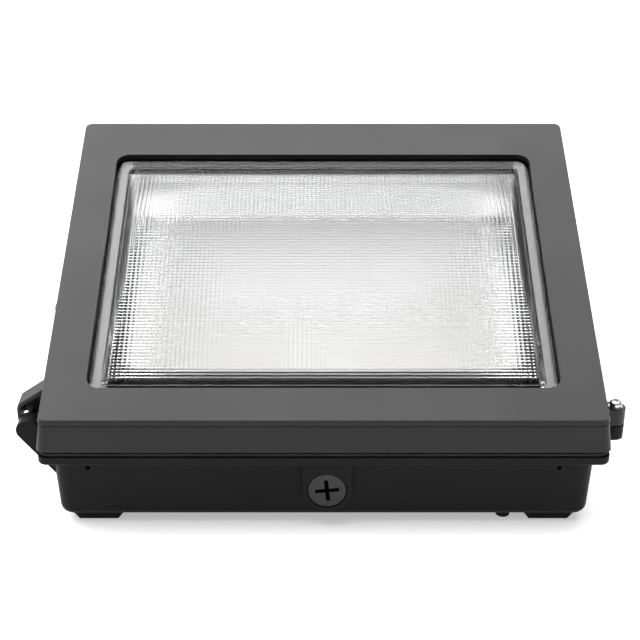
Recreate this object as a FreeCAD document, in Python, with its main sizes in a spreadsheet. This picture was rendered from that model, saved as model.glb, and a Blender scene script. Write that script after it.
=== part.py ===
"""Wall pack light: a die-cast pan that mounts flat on a wall, and a wedge-shaped door with a prismatic glass.

The light lies on its back as it would on a bench. X runs across it, Y from the bottom end of the mounted light
to its top end, and Z out of the wall. The origin is the middle of the wall bolt pattern, on the wall's surface.
"Near" is the low end, where the lower conduit entry is, and "far" is the high end. All sizes are millimetres.
"""
import FreeCAD, Part
import math
import os
import Sketcher

DRIVING_SIZES = {
    # The pan, a shallow tray with a flange round its mouth
    "flange_width": 358,
    "flange_depth": 266,
    "flange_underside": 51,
    "flange_thickness": 5.5,
    "flange_corner": 6,
    "flange_edge_round": 1.5,
    "pan_width": 344.4,
    "pan_depth": 249.6,
    "pan_draft": 2.93,
    "pan_corner": 11,
    "pan_back_round": 6,
    "pan_wall": 3,
    "pad_height": 6,
    # Wall pads, bolt holes and entries in the back
    "pad_outer_edge": 163.5,
    "pad_inner_edge": 128.5,
    "pad_slant": 5,
    "pad_length": 30,
    "bolt_spacing_across": 293,
    "bolt_spacing_along": 200,
    "bolt_hole_radius": 3.25,
    "box_hole_spacing": 88.9,
    "box_hole_radius": 2.75,
    "rear_entry_radius": 11,
    "weep_hole_offset": 149,
    "weep_hole_height": 44,
    "weep_hole_radius": 1.5,
    # Threaded conduit entries at both ends, each closed by a plug
    "boss_width": 31,
    "boss_offset": 2.2,
    "boss_face_inset": 5.4,
    "boss_length": 11.6,
    "entry_height": 28.6,
    "entry_radius": 10.5,
    "entry_recess_radius": 12.8,
    "entry_recess_depth": 3.2,
    "plug_head_radius": 12.4,
    "plug_head_height": 2.6,
    "plug_thread_radius": 10.3,
    "plug_thread_length": 8,
    "plug_slot_length": 15.4,
    "plug_slot_width": 2.7,
    "plug_slot_depth": 1.8,
    # The door, a hollow wedge with a flat face that slopes from the near end up to the far end
    "gasket_gap": 4,
    "gasket_width": 8.5,
    "gasket_bead": 1,
    "skirt_width": 359,
    "skirt_depth": 265,
    "skirt_corner": 5.5,
    "door_wall": 3.2,
    "face_width": 353,
    "face_length": 276.9,
    "face_tilt": 21.84,
    "face_near_height": 82,
    "face_near_inset": 3.4,
    "face_corner": 4.5,
    "face_plate": 4,
    "band_depth": 3.4,
    "band_ledge": 0.5,
    "band_groove": 0.7,
    "window_width": 300,
    "window_length": 217,
    "window_near_border": 25.6,
    "window_corner": 9,
    "window_rim_depth": 4.6,
    "window_rim_width": 7,
    # The glass, a shallow tent with its ridge towards the far end
    "glass_seal": 1,
    "glass_flange": 3,
    "glass_flange_reach": 6,
    "glass_wall": 4,
    "glass_side_gap": 2,
    "glass_ridge_along": 166,
    "glass_ridge_height": 12.2,
    "glass_crest_along": 217,
    "glass_crest_height": 3.5,
    "glass_side_crest": 139,
    # Hinges on the left and screw lugs on the right
    "pivot_offset": 186.8,
    "pivot_height": 66.3,
    "pin_radius": 2,
    "pin_play": 0.06,
    "knuckle_radius": 7.1,
    "knuckle_length": 11.1,
    "knuckle_end": 2,
    "ear_slope": 52,
    "near_hood_start": -104.6,
    "far_hood_start": 38.4,
    "hood_length": 15,
    "hood_wall": 2.2,
    "hood_web": 4,
    "hood_eye_radius": 3.6,
    "hinge_play": 0.4,
    "lug_radius": 6.6,
    "near_lug_along": -96.6,
    "far_lug_along": 46,
    "lug_underside": 51.3,
    "lug_split": 60.9,
    "lug_play": 1,
    "lug_top": 72.3,
    # Inside: the reflector on four posts, the boards on it, and the driver below it
    "reflector_height": 49,
    "reflector_sheet": 1,
    "post_across": 120,
    "post_along": 75,
    "board_width": 120,
    "board_length": 140,
    "board_gap": 10,
    "board_thickness": 1.6,
    "driver_length": 150,
    "driver_width": 62,
    "driver_height": 30,
    "driver_along": 66,
    "driver_seat": 12,
}

doc = FreeCAD.newDocument("wall_pack_light")
sheet = doc.addObject("Spreadsheet::Sheet", "Sizes")
finished = []


class Size:
    """A length or angle that carries both its value and the sheet formula it comes from."""

    def __init__(self, value, formula=None):
        self.value = float(value)
        self.formula = "%g" % value if formula is None else formula

    def joined(self, other, sign, value):
        return Size(value, "(%s %s %s)" % (self.formula, sign, other.formula))

    def __add__(self, other):
        other = as_size(other)
        return self.joined(other, "+", self.value + other.value)

    def __sub__(self, other):
        other = as_size(other)
        return self.joined(other, "-", self.value - other.value)

    def __mul__(self, other):
        other = as_size(other)
        return self.joined(other, "*", self.value * other.value)

    def __truediv__(self, other):
        other = as_size(other)
        return self.joined(other, "/", self.value / other.value)

    def __radd__(self, other):
        return as_size(other) + self

    def __rsub__(self, other):
        return as_size(other) - self

    def __rmul__(self, other):
        return as_size(other) * self

    def __neg__(self):
        return Size(-self.value, "(-1 * %s)" % self.formula)


def as_size(item):
    return item if isinstance(item, Size) else Size(item)


def sine(angle):
    return Size(math.sin(math.radians(angle.value)), "sin(%s)" % angle.formula)


def cosine(angle):
    return Size(math.cos(math.radians(angle.value)), "cos(%s)" % angle.formula)


def fill_sheet():
    """Writes the driving sizes into the sheet, one row each, and returns them by name."""
    sizes = {}
    for row, (name, value) in enumerate(DRIVING_SIZES.items(), start=1):
        sheet.set("A%d" % row, name)
        sheet.set("B%d" % row, "%g" % value)
        sheet.setAlias("B%d" % row, name)
        sizes[name] = Size(value, "Sizes.%s" % name)
    doc.recompute()
    return sizes


D = fill_sheet()

# ---------------------------------------------------------------- derived places

HALF_WIDTH = D["flange_width"] / 2
HALF_DEPTH = D["flange_depth"] / 2
PAN_HALF_WIDTH = D["pan_width"] / 2
PAN_HALF_DEPTH = D["pan_depth"] / 2
PAN_RISE = D["flange_underside"] - D["pad_height"]
PAN_TAPER = PAN_RISE * sine(D["pan_draft"]) / cosine(D["pan_draft"])
FLANGE_TOP = D["flange_underside"] + D["flange_thickness"]
SKIRT_BOTTOM = FLANGE_TOP + D["gasket_gap"]
PAN_FLOOR = D["pad_height"] + D["pan_wall"]
FACE_NEAR = -HALF_DEPTH + D["face_near_inset"]
TILT = D["face_tilt"]
WINDOW_NEAR = D["window_near_border"]
WINDOW_FAR = WINDOW_NEAR + D["window_length"]
HALF_WINDOW = D["window_width"] / 2
GLASS_SEAT = D["window_rim_depth"] + D["glass_seal"]
GLASS_BACK = GLASS_SEAT + D["glass_flange"]
HINGES = [
    {"name": "near", "hood": D["near_hood_start"], "knuckle_side": -1},
    {"name": "far", "hood": D["far_hood_start"], "knuckle_side": 1},
]
LUGS = [("near", D["near_lug_along"]), ("far", D["far_lug_along"])]


# ---------------------------------------------------------------- making features


def bind(item, prop, size):
    """Drives one property of an object from the sheet."""
    item.setExpression(prop, as_size(size).formula)


def place(item, x, y, z, axis=None, angle=None):
    """Sets an object's Placement and drives it from the sheet."""
    turn = FreeCAD.Rotation()
    if axis is not None:
        turn = FreeCAD.Rotation(axis, as_size(angle).value)
    item.Placement = FreeCAD.Placement(FreeCAD.Vector(0, 0, 0), turn)
    bind(item, "Placement.Base.x", x)
    bind(item, "Placement.Base.y", y)
    bind(item, "Placement.Base.z", z)
    if axis is not None:
        bind(item, "Placement.Rotation.Angle", angle)
    return item


def face_place(across, along, out):
    """The place of a point on the door's sloping face: across it, up its slope, and out of its plane."""
    y = FACE_NEAR + along * cosine(TILT) - out * sine(TILT)
    z = D["face_near_height"] + along * sine(TILT) + out * cosine(TILT)
    return across, y, z


def new_body(name):
    body = doc.addObject("PartDesign::Body", name)
    body.Label = name
    return body


def origin_plane(body, role):
    return [item for item in body.Origin.OriginFeatures if item.Role == role][0]


def sketch_on(body, plane, level, across=0, along=0):
    """A sketch on the body's XY, XZ or YZ plane, moved to a level along Z, Y or X."""
    sketch = body.newObject("Sketcher::SketchObject", body.Name + "_sketch")
    sketch.AttachmentSupport = [(origin_plane(body, plane + "_Plane"), "")]
    sketch.MapMode = "FlatFace"
    level = as_size(level)
    bind(sketch, "AttachmentOffset.Base.x", across)
    bind(sketch, "AttachmentOffset.Base.y", along)
    bind(sketch, "AttachmentOffset.Base.z", -level if plane == "XZ" else level)
    return sketch


def face_sketch(body, depth):
    """A sketch parallel to the door's face, at a depth below it, with X across and Y up the slope."""
    sketch = sketch_on(body, "XY", 0)
    place_x, place_y, place_z = face_place(Size(0), Size(0), -as_size(depth))
    turn = FreeCAD.Rotation(FreeCAD.Vector(1, 0, 0), TILT.value)
    sketch.AttachmentOffset = FreeCAD.Placement(FreeCAD.Vector(0, 0, 0), turn)
    bind(sketch, "AttachmentOffset.Base.x", place_x)
    bind(sketch, "AttachmentOffset.Base.y", place_y)
    bind(sketch, "AttachmentOffset.Base.z", place_z)
    bind(sketch, "AttachmentOffset.Rotation.Angle", TILT)
    return sketch


def hold_radius(sketch, item, radius):
    radius = as_size(radius)
    number = sketch.addConstraint(Sketcher.Constraint("Radius", item, radius.value))
    bind(sketch, "Constraints[%d]" % number, radius)


def hold_point(sketch, item, end, x, y):
    """Dimensions one point of a sketch from the sketch's origin."""
    for kind, axis, size in (("DistanceX", -2, as_size(x)), ("DistanceY", -1, as_size(y))):
        if size.value == 0:
            sketch.addConstraint(Sketcher.Constraint("PointOnObject", item, end, axis))
            continue
        number = sketch.addConstraint(Sketcher.Constraint(kind, -1, 1, item, end, size.value))
        bind(sketch, "Constraints[%d]" % number, size)


def flat(x, y):
    return FreeCAD.Vector(as_size(x).value, as_size(y).value, 0)


def polygon(sketch, corners):
    """A closed outline of straight lines through the corners."""
    count = len(corners)
    first = sketch.GeometryCount
    for number in range(count):
        ends = [flat(*corners[number]), flat(*corners[(number + 1) % count])]
        sketch.addGeometry(Part.LineSegment(*ends), False)
    for number in range(count):
        following = first + (number + 1) % count
        sketch.addConstraint(Sketcher.Constraint("Coincident", first + number, 2, following, 1))
        hold_point(sketch, first + number, 1, *corners[number])
    return sketch


def rectangle(sketch, left, right, low, high):
    return polygon(sketch, [(left, low), (right, low), (right, high), (left, high)])


def circle(sketch, x, y, radius):
    centre = flat(x, y)
    item = sketch.addGeometry(Part.Circle(centre, FreeCAD.Vector(0, 0, 1), as_size(radius).value), False)
    hold_point(sketch, item, 3, x, y)
    hold_radius(sketch, item, radius)
    return sketch


def rounded_rectangle(sketch, left, right, low, high, radius):
    """A rectangle whose four corners are arcs."""
    left, right, low, high, radius = [as_size(item) for item in (left, right, low, high, radius)]
    first = sketch.GeometryCount
    corners = [
        (right - radius, low + radius, -90),
        (right - radius, high - radius, 0),
        (left + radius, high - radius, 90),
        (left + radius, low + radius, 180),
    ]
    ends = []
    for x, y, start in corners:
        round_corner = Part.Circle(flat(x, y), FreeCAD.Vector(0, 0, 1), radius.value)
        arc = Part.ArcOfCircle(round_corner, math.radians(start), math.radians(start + 90))
        sketch.addGeometry(arc, False)
        ends.append((arc.StartPoint, arc.EndPoint))
    for number in range(4):
        side = Part.LineSegment(ends[number][1], ends[(number + 1) % 4][0])
        sketch.addGeometry(side, False)
    for number, (x, y, start) in enumerate(corners):
        arc = first + number
        side = first + 4 + number
        following = first + (number + 1) % 4
        hold_point(sketch, arc, 3, x, y)
        hold_radius(sketch, arc, radius)
        sketch.addConstraint(Sketcher.Constraint("Tangent", arc, 2, side, 1))
        sketch.addConstraint(Sketcher.Constraint("Tangent", side, 2, following, 1))
    return sketch


def centred_rectangle(sketch, half_width, half_depth, radius):
    return rounded_rectangle(sketch, -half_width, half_width, -half_depth, half_depth, radius)


def solid_volume(body):
    return body.Shape.Volume if body.Tip is not None and not body.Shape.isNull() else 0


def settle(body, feature, before, adds):
    """Recomputes, and stops if a feature added or removed nothing."""
    doc.recompute()
    change = body.Shape.Volume - before
    if (change <= 0) if adds else (change >= 0):
        raise RuntimeError("%s in %s changed the volume by %.3f" % (feature.Name, body.Name, change))
    return feature


def pad(body, sketch, length, back=False, draft=0):
    """Adds material along the sketch's normal, or against it, and widens it by a draft angle."""
    before = solid_volume(body)
    feature = body.newObject("PartDesign::Pad", body.Name + "_pad")
    feature.Profile = sketch
    feature.Reversed = back
    bind(feature, "TaperAngle", draft)
    bind(feature, "Length", length)
    return settle(body, feature, before, True)


def pocket(body, sketch, length, back=False):
    """Removes material against the sketch's normal, or along it."""
    before = solid_volume(body)
    feature = body.newObject("PartDesign::Pocket", body.Name + "_pocket")
    feature.Profile = sketch
    feature.Reversed = back
    bind(feature, "Length", length)
    return settle(body, feature, before, False)


def loft(body, first, second, cut=False):
    """Adds or removes a straight-sided loft between two outlines."""
    before = solid_volume(body)
    kind = "PartDesign::SubtractiveLoft" if cut else "PartDesign::AdditiveLoft"
    feature = body.newObject(kind, body.Name + "_loft")
    feature.Profile = first
    feature.Sections = [second]
    feature.Ruled = True
    return settle(body, feature, before, not cut)


def revolve(body, sketch):
    before = solid_volume(body)
    feature = body.newObject("PartDesign::Revolution", body.Name + "_turning")
    feature.Profile = sketch
    feature.ReferenceAxis = (sketch, ["V_Axis"])
    feature.Angle = 360
    return settle(body, feature, before, True)


def edges_where(shape, test):
    """Names of the edges whose bounding box passes the test."""
    return ["Edge%d" % number for number, edge in enumerate(shape.Edges, start=1) if test(edge.BoundBox)]


def dress(body, kind, test, size):
    """Rounds or bevels the edges of the body's tip that pass the test."""
    base = body.Tip
    feature = body.newObject("PartDesign::" + kind, body.Name + "_" + kind.lower())
    feature.Base = (base, edges_where(base.Shape, test))
    bind(feature, "Radius" if kind == "Fillet" else "Size", size)
    doc.recompute()
    return feature


def box(name, left, right, low, high, bottom, top):
    item = doc.addObject("Part::Box", name)
    bind(item, "Length", as_size(right) - left)
    bind(item, "Width", as_size(high) - low)
    bind(item, "Height", as_size(top) - bottom)
    return place(item, left, low, bottom)


def cylinder(name, x, y, z, radius, height, axis=None, angle=None):
    """A cylinder that stands on (x, y, z) and points up, unless it is turned about an axis."""
    item = doc.addObject("Part::Cylinder", name)
    bind(item, "Radius", radius)
    bind(item, "Height", height)
    return place(item, x, y, z, axis, angle)


def along_y(name, x, y, z, radius, length):
    """A cylinder that starts at y and runs towards the far end."""
    return cylinder(name, x, y, z, radius, length, FreeCAD.Vector(1, 0, 0), -90)


def below_face(name, across, along, depth, radius, height):
    """A cylinder square to the door's face, which starts at a depth below it and grows outwards."""
    x, y, z = face_place(as_size(across), as_size(along), -as_size(depth))
    return cylinder(name, x, y, z, radius, height, FreeCAD.Vector(1, 0, 0), TILT)


def fuse(name, pieces):
    item = doc.addObject("Part::MultiFuse", name)
    item.Shapes = pieces
    return item


def cut(name, base, tool):
    item = doc.addObject("Part::Cut", name)
    item.Base = base
    item.Tool = tool
    return item


def group(name, pieces):
    """Several like pieces that share one node and stay separate solids."""
    item = doc.addObject("Part::Compound", name)
    item.Links = pieces
    return item


def finish(item, name):
    item.Label = name
    finished.append(item)
    return item


# ---------------------------------------------------------------- back housing


def near_height(box_found, height):
    """True for an edge that lies flat at a height."""
    return abs(box_found.ZMin - height) < 0.01 and abs(box_found.ZMax - height) < 0.01


def pan_shell(body):
    """The tapered tray, its flange, and the hollow inside."""
    taper = PAN_TAPER
    mouth = sketch_on(body, "XY", D["flange_underside"])
    centred_rectangle(mouth, PAN_HALF_WIDTH, PAN_HALF_DEPTH, D["pan_corner"])
    pad(body, mouth, PAN_RISE, back=True, draft=-D["pan_draft"])
    dress(body, "Fillet", lambda found: near_height(found, D["pad_height"].value), D["pan_back_round"])

    flange = sketch_on(body, "XY", D["flange_underside"])
    centred_rectangle(flange, HALF_WIDTH, HALF_DEPTH, D["flange_corner"])
    pad(body, flange, D["flange_thickness"])

    def flange_rim(found):
        return near_height(found, D["flange_underside"].value) and (
            max(found.XMax, -found.XMin) > PAN_HALF_WIDTH.value + 1
            or max(found.YMax, -found.YMin) > PAN_HALF_DEPTH.value + 1)

    dress(body, "Fillet", flange_rim, D["flange_edge_round"])

    wall = D["pan_wall"]
    floor = centred_rectangle(
        sketch_on(body, "XY", PAN_FLOOR),
        PAN_HALF_WIDTH - taper - wall, PAN_HALF_DEPTH - taper - wall, D["pan_corner"] - taper - wall)
    opening = centred_rectangle(
        sketch_on(body, "XY", FLANGE_TOP), PAN_HALF_WIDTH - wall, PAN_HALF_DEPTH - wall, D["pan_corner"] - wall)
    loft(body, floor, opening, cut=True)
    dress(body, "Fillet", lambda found: near_height(found, PAN_FLOOR.value), D["pan_back_round"] - wall)


def conduit_entries(body):
    """A U-shaped boss at each end, with a threaded hole and a recess for the plug's head."""
    centre = D["boss_offset"]
    radius = D["boss_width"] / 2
    top = D["flange_underside"] + 1
    for end in (-1, 1):
        face = end * (HALF_DEPTH - D["boss_face_inset"])
        inward = end < 0
        upright = sketch_on(body, "XZ", face)
        rectangle(upright, centre - radius, centre + radius, D["entry_height"], top)
        pad(body, upright, D["boss_length"], back=inward)
        round_end = sketch_on(body, "XZ", face)
        circle(round_end, centre, D["entry_height"], radius)
        pad(body, round_end, D["boss_length"], back=inward)

        hole = sketch_on(body, "XZ", face)
        circle(hole, centre, D["entry_height"], D["entry_radius"])
        pocket(body, hole, D["boss_length"] + 1, back=not inward)
        recess = sketch_on(body, "XZ", face)
        circle(recess, centre, D["entry_height"], D["entry_recess_radius"])
        pocket(body, recess, D["entry_recess_depth"], back=not inward)


def hinge_ears(body):
    """For each hinge a knuckle beside the door's hood, on a web that runs down into the pan's side."""
    slope = D["ear_slope"]
    x = -D["pivot_offset"]
    z = D["pivot_height"]
    touch_x = x - D["knuckle_radius"] * sine(slope)
    touch_z = z - D["knuckle_radius"] * cosine(slope)
    root_x = -PAN_HALF_WIDTH + PAN_TAPER
    root_z = touch_z - (root_x - touch_x) * sine(slope) / cosine(slope)
    clear_x = -D["skirt_width"] / 2 - 0.3
    web = [
        (touch_x, touch_z),
        (root_x, root_z),
        (root_x, FLANGE_TOP),
        (clear_x, FLANGE_TOP),
        (clear_x, z),
        (x, z),
    ]
    for hinge in HINGES:
        if hinge["knuckle_side"] < 0:
            end = hinge["hood"] - D["hinge_play"]
        else:
            end = hinge["hood"] + D["hood_length"] + D["hinge_play"] + D["knuckle_length"]
        pad(body, circle(sketch_on(body, "XZ", end), x, z, D["knuckle_radius"]), D["knuckle_length"])
        pad(body, polygon(sketch_on(body, "XZ", end), web), D["knuckle_length"])
        near = hinge["knuckle_side"] < 0
        start = end if near else end - D["knuckle_length"]
        bore = circle(sketch_on(body, "XZ", start), x, z, D["pin_radius"])
        pocket(body, bore, D["knuckle_length"] - D["knuckle_end"], back=near)


def screw_lugs(body):
    """Two lugs beside the flange that take the door's screws."""
    x = D["pivot_offset"]
    radius = D["lug_radius"]
    for name, y in LUGS:
        bridge = sketch_on(body, "XY", D["lug_underside"])
        rectangle(bridge, HALF_WIDTH - 4, x, y - radius, y + radius)
        pad(body, bridge, FLANGE_TOP - D["lug_underside"])
        column = circle(sketch_on(body, "XY", D["lug_underside"]), x, y, radius)
        pad(body, column, D["lug_split"] - D["lug_underside"])
        hole = circle(sketch_on(body, "XY", D["lug_split"]), x, y, D["pin_radius"] + 0.5)
        pocket(body, hole, D["lug_split"] - D["lug_underside"])


def wall_pads(body):
    """Four pads that hold the pan off the wall, with the bolt holes through them, and a small stud."""
    outer = D["pad_outer_edge"]
    inner = D["pad_inner_edge"]
    slant = D["pad_slant"]
    top = D["pad_height"] + 0.5
    reach = PAN_HALF_DEPTH - PAN_TAPER - D["pan_back_round"]
    for side in (-1, 1):
        outline = [(side * inner, top), (side * outer, top), (side * (outer - slant), 0), (side * (inner + slant), 0)]
        for end in (reach, D["pad_length"] - reach):
            pad(body, polygon(sketch_on(body, "XZ", end), outline), D["pad_length"])
    stud = circle(sketch_on(body, "XY", 0.4), 117, -111, 4.6)
    pad(body, stud, D["pad_height"] + 0.2)


def back_holes(body):
    """Bolt holes through the pads, two holes for a junction box, and the rear wire entry."""
    holes = sketch_on(body, "XY", 0)
    for side in (-1, 1):
        circle(holes, side * D["box_hole_spacing"] / 2, 0, D["box_hole_radius"])
        for end in (-1, 1):
            x = side * D["bolt_spacing_across"] / 2
            y = end * D["bolt_spacing_along"] / 2
            circle(holes, x, y, D["bolt_hole_radius"])
    circle(holes, 0, 0, D["rear_entry_radius"])
    pocket(body, holes, PAN_FLOOR + 1, back=True)
    weeps = sketch_on(body, "XZ", -HALF_DEPTH)
    for side in (-1, 1):
        circle(weeps, side * D["weep_hole_offset"], D["weep_hole_height"], D["weep_hole_radius"])
    pocket(body, weeps, HALF_DEPTH - PAN_HALF_DEPTH + D["pan_wall"] + 4)


def inner_posts(body):
    """Posts for the reflector, the driver and the ground screw, each with a pilot hole."""
    start = PAN_FLOOR - 0.5
    posts = [(side * D["post_across"], end * D["post_along"], D["reflector_height"], 4.5)
             for side in (-1, 1) for end in (-1, 1)]
    posts += [(side * 86, D["driver_along"], D["driver_seat"], 4) for side in (-1, 1)]
    posts.append((-60, -60, D["driver_seat"], 4))
    for x, y, top, radius in posts:
        pad(body, circle(sketch_on(body, "XY", start), x, y, radius), top - start)
        pilot = circle(sketch_on(body, "XY", top), x, y, 1.55)
        pocket(body, pilot, 5)


def back_housing():
    """The die-cast pan, with everything that is cast on it."""
    body = new_body("back_housing")
    pan_shell(body)
    conduit_entries(body)
    hinge_ears(body)
    screw_lugs(body)
    wall_pads(body)
    inner_posts(body)
    back_holes(body)
    finish(body, "back_housing")


def door_gasket():
    """A silicone ring on the flange, with a small bead round the middle of its outer face."""
    body = new_body("door_gasket")
    bead = D["gasket_bead"]
    outer_x = HALF_WIDTH - 1 - bead
    outer_y = HALF_DEPTH - 1 - bead
    width = D["gasket_width"]
    ring = sketch_on(body, "XY", FLANGE_TOP)
    centred_rectangle(ring, outer_x, outer_y, D["flange_corner"] - 1)
    centred_rectangle(ring, outer_x - width, outer_y - width, 3)
    pad(body, ring, D["gasket_gap"])
    lip = sketch_on(body, "XY", FLANGE_TOP + D["gasket_gap"] * 0.4)
    centred_rectangle(lip, outer_x + bead, outer_y + bead, D["flange_corner"])
    centred_rectangle(lip, outer_x - width, outer_y - width, 3)
    pad(body, lip, D["gasket_gap"] * 0.2)
    finish(body, "door_gasket")


def hinge_pin(hinge):
    """A plain steel pin, pressed into the knuckle's blind bore and free in the hood's web."""
    length = D["knuckle_length"] - D["knuckle_end"] - 0.2 + D["hinge_play"] + D["hood_length"] + 0.5
    if hinge["knuckle_side"] < 0:
        start = hinge["hood"] + D["hood_length"] + 0.5 - length
    else:
        start = hinge["hood"] - 0.5
    name = hinge["name"] + "_hinge_pin"
    finish(along_y(name, -D["pivot_offset"], start, D["pivot_height"], D["pin_radius"], length), name)


def conduit_plug(name, end):
    """A threaded plug with a flush round head and a cross slot in it."""
    body = new_body(name)
    face = HALF_DEPTH - D["boss_face_inset"] - 0.5
    outer = end * face
    under_head = end * (face - D["plug_head_height"])
    tip = end * (face - D["plug_head_height"] - D["plug_thread_length"])
    relief = end * (face - D["plug_head_height"] - 1)
    turning = sketch_on(body, "XY", D["entry_height"], across=D["boss_offset"])
    polygon(turning, [
        (0, outer),
        (D["plug_head_radius"] - 0.5, outer),
        (D["plug_head_radius"], outer - end * 0.5),
        (D["plug_head_radius"], under_head),
        (D["plug_thread_radius"] - 0.8, under_head),
        (D["plug_thread_radius"] - 0.8, relief),
        (D["plug_thread_radius"], relief - end * 0.8),
        (D["plug_thread_radius"], tip + end * 1),
        (D["plug_thread_radius"] - 1, tip),
        (0, tip),
    ])
    revolve(body, turning)
    half_length = D["plug_slot_length"] / 2
    half_width = D["plug_slot_width"] / 2
    for long_x, long_z in ((half_length, half_width), (half_width, half_length)):
        slot = sketch_on(body, "XZ", outer, D["boss_offset"], D["entry_height"])
        rectangle(slot, -long_x, long_x, -long_z, long_z)
        bind(slot, "AttachmentOffset.Rotation.Angle", 5.5)
        pocket(body, slot, D["plug_slot_depth"], back=end > 0)
    finish(body, name)


# ---------------------------------------------------------------- door


def door_shell(body):
    """The wedge: straight skirt, a shallow band round the face, and the hollow inside."""
    depth = D["band_depth"]
    half = D["face_width"] / 2
    length = D["face_length"]
    skirt_x = D["skirt_width"] / 2
    skirt_y = D["skirt_depth"] / 2
    foot = centred_rectangle(sketch_on(body, "XY", SKIRT_BOTTOM), skirt_x, skirt_y, D["skirt_corner"])
    under_band = rounded_rectangle(
        face_sketch(body, depth), -half - 0.5, half + 0.5, -1.6, length + 0.7, D["face_corner"])
    loft(body, foot, under_band)
    ledge = D["band_ledge"]
    band = rounded_rectangle(
        face_sketch(body, depth), -half - 0.5 - ledge, half + 0.5 + ledge, -1.6 - ledge, length + 0.7 + ledge,
        D["face_corner"] + ledge)
    face = rounded_rectangle(face_sketch(body, 0), -half, half, 0, length, D["face_corner"])
    loft(body, band, face)

    groove = face_sketch(body, depth)
    rounded_rectangle(groove, -half - 6, half + 6, -8, length + 8, 8)
    rounded_rectangle(groove, 0.3 - half, half - 0.3, -0.6, length - 0.3, D["face_corner"])
    pocket(body, groove, D["band_groove"])

    wall = D["door_wall"]
    mouth = centred_rectangle(
        sketch_on(body, "XY", SKIRT_BOTTOM), skirt_x - wall, skirt_y - wall, D["skirt_corner"] - 2)
    ceiling = rounded_rectangle(
        face_sketch(body, D["face_plate"]), wall - half, half - wall, 1.6, length - wall, D["face_corner"] - 1)
    loft(body, mouth, ceiling, cut=True)


def window(body):
    """The window, with a deeper rim round it that the glass seals against."""
    rim = D["window_rim_width"]
    land = face_sketch(body, D["window_rim_depth"])
    rounded_rectangle(
        land, -HALF_WINDOW - rim, HALF_WINDOW + rim, WINDOW_NEAR - rim, WINDOW_FAR + rim,
        D["window_corner"] + 3)
    pad(body, land, D["window_rim_depth"] - D["face_plate"] + 0.5)
    opening = face_sketch(body, -1)
    rounded_rectangle(opening, -HALF_WINDOW, HALF_WINDOW, WINDOW_NEAR, WINDOW_FAR, D["window_corner"])
    pocket(body, opening, D["window_rim_depth"] + 2)


def clip_places():
    """Where the glass clips screw down, across the face and up its slope, with the way each clip points."""
    reach = D["window_rim_width"] + 6.6
    return [(across, along, way)
            for along, way in ((WINDOW_NEAR - reach, 1), (WINDOW_FAR + reach, -1))
            for across in (-108, 0, 108)]


def clip_bosses(body):
    """Six bosses under the face plate for the screws of the glass clips."""
    for across, along, way in clip_places():
        pad(body, circle(face_sketch(body, GLASS_BACK), across, along, 4), GLASS_BACK - D["face_plate"] + 0.5)
        pocket(body, circle(face_sketch(body, GLASS_BACK), across, along, 1.25), 6, back=True)


def door_lugs(body):
    """Lugs on the skirt that stand on the pan's lugs, each with a deep bore for the screw's ring."""
    x = D["pivot_offset"]
    radius = D["lug_radius"]
    bottom = D["lug_split"] + D["lug_play"]
    for name, y in LUGS:
        bridge = rectangle(sketch_on(body, "XY", bottom), HALF_WIDTH - 2.6, x, y - radius, y + radius)
        pad(body, bridge, D["lug_top"] - bottom)
        pad(body, circle(sketch_on(body, "XY", bottom), x, y, radius), D["lug_top"] - bottom)
        pocket(body, circle(sketch_on(body, "XY", D["lug_top"]), x, y, D["pin_radius"] + 0.4), 12)
        bore = circle(sketch_on(body, "XY", bottom), x, y, 4.1)
        pocket(body, bore, D["lug_top"] - bottom - 1.9, back=True)


def hinge_hoods(body):
    """For each hinge a bent cover over the pin, closed at one end by a web with an eye for the pin."""
    x = -D["pivot_offset"]
    z = D["pivot_height"]
    wall = D["hood_wall"]
    root = -HALF_WIDTH + 4.2
    outer = x - 7.7
    floor = z + 1
    cover = [
        (root, z + 24.9),
        (outer + 0.8, z + 12),
        (outer, z + 9.2),
        (outer, floor),
        (outer + wall, floor),
        (outer + wall, z + 8.5),
        (outer + 2.6, z + 10.4),
        (root, z + 22),
    ]
    web = [(root, z + 23), (outer + 2.2, z + 11.2), (outer + 1, z + 8.5), (outer + 1, floor + 0.4),
           (root, floor + 0.4)]
    for hinge in HINGES:
        start = hinge["hood"]
        end = start + D["hood_length"]
        pad(body, polygon(sketch_on(body, "XZ", end), cover), D["hood_length"])
        web_end = end if hinge["knuckle_side"] < 0 else start + D["hood_web"]
        pad(body, polygon(sketch_on(body, "XZ", web_end), web), D["hood_web"])
        pad(body, circle(sketch_on(body, "XZ", web_end), x, z, D["hood_eye_radius"]), D["hood_web"])
        eye = circle(sketch_on(body, "XZ", web_end), x, z, D["pin_radius"] + D["pin_play"])
        pocket(body, eye, D["hood_web"], back=True)


def door_frame():
    """The die-cast door."""
    body = new_body("door_frame")
    door_shell(body)
    window(body)
    clip_bosses(body)
    door_lugs(body)
    hinge_hoods(body)
    finish(body, "door_frame")


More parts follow.
